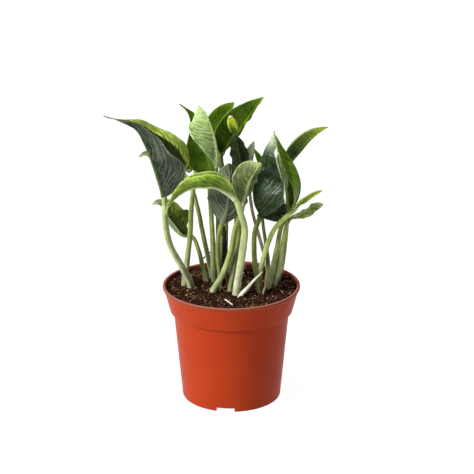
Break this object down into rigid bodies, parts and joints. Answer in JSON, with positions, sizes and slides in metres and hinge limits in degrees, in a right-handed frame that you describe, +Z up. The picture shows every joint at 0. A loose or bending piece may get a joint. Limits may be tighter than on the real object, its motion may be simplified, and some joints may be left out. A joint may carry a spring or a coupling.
{
  "type": "potted pothos plant",
  "caption": "Young pothos with folded, waved leaves on long upright stalks, standing in soil in a round tapered nursery pot with a lipped rim and collar.",
  "frame": {"origin": "on the pot's axis, at the middle of the flat pad under the pot, in the plane that the pot stands on", "axes": "+Z up along the pot's axis; -Y is the front that the picture shows; +X is to the right in the picture"},
  "size_m": [0.1648, 0.105, 0.2333],
  "materials": {
    "pot_plastic": "satin",
    "potting_mix": "matte",
    "leaf_grey_green": "satin",
    "leaf_bright_green": "satin",
    "leaf_pale_green": "satin",
    "leaf_mid_green": "satin",
    "leaf_dark_green": "satin",
    "leaf_teal_green": "gloss",
    "leaf_yellow_green": "satin",
    "stalk_green": "satin",
    "sheath_pale": "matte",
    "dried_wood": "matte"
  },
  "bodies": {
    "root": {"pot": "pot_plastic", "soil": "potting_mix", "leaf_big_left": "leaf_grey_green", "leaf_arching": "leaf_bright_green", "leaf_pale_hood": "leaf_pale_green", "leaf_hood_back": "leaf_dark_green", "leaf_top_broad": "leaf_mid_green", "leaf_top_right": "leaf_mid_green", "leaf_top_back": "leaf_mid_green", "leaf_twisted": "leaf_dark_green", "leaf_small_pale": "leaf_pale_green", "leaf_crinkled_centre": "leaf_grey_green", "leaf_ruffled_back": "leaf_grey_green", "leaf_teal_cup": "leaf_teal_green", "leaf_upright_right": "leaf_mid_green", "leaf_far_right": "leaf_dark_green", "leaf_bright_new": "leaf_yellow_green", "leaf_crumpled": "leaf_mid_green", "leaf_small_curl": "leaf_pale_green", "leaf_spiky": "leaf_dark_green", "leaf_low_cup": "leaf_dark_green", "leaf_far_left": "leaf_mid_green", "new_leaf_roll": "leaf_yellow_green", "stalk_big_left": "stalk_green", "stalk_arching": "stalk_green", "stalk_pale_hood": "stalk_green", "stalk_hood_back": "stalk_green", "stalk_top_broad": "stalk_green", "stalk_top_right": "stalk_green", "stalk_top_back": "stalk_green", "stalk_twisted": "stalk_green", "stalk_small_pale": "stalk_green", "stalk_crinkled_centre": "stalk_green", "stalk_ruffled_back": "stalk_green", "stalk_teal_cup": "stalk_green", "stalk_upright_right": "stalk_green", "stalk_far_right": "stalk_green", "stalk_bright_new": "stalk_green", "stalk_crumpled": "stalk_green", "stalk_small_curl": "stalk_green", "stalk_spiky": "stalk_green", "stalk_low_cup": "stalk_green", "stalk_far_left": "stalk_green", "stalk_new_leaf": "stalk_green", "sheath_front": "sheath_pale", "sheath_left": "sheath_pale", "sheath_right": "sheath_pale", "dried_stem": "dried_wood", "dark_twig": "dried_wood"}
  },
  "joints": []
}
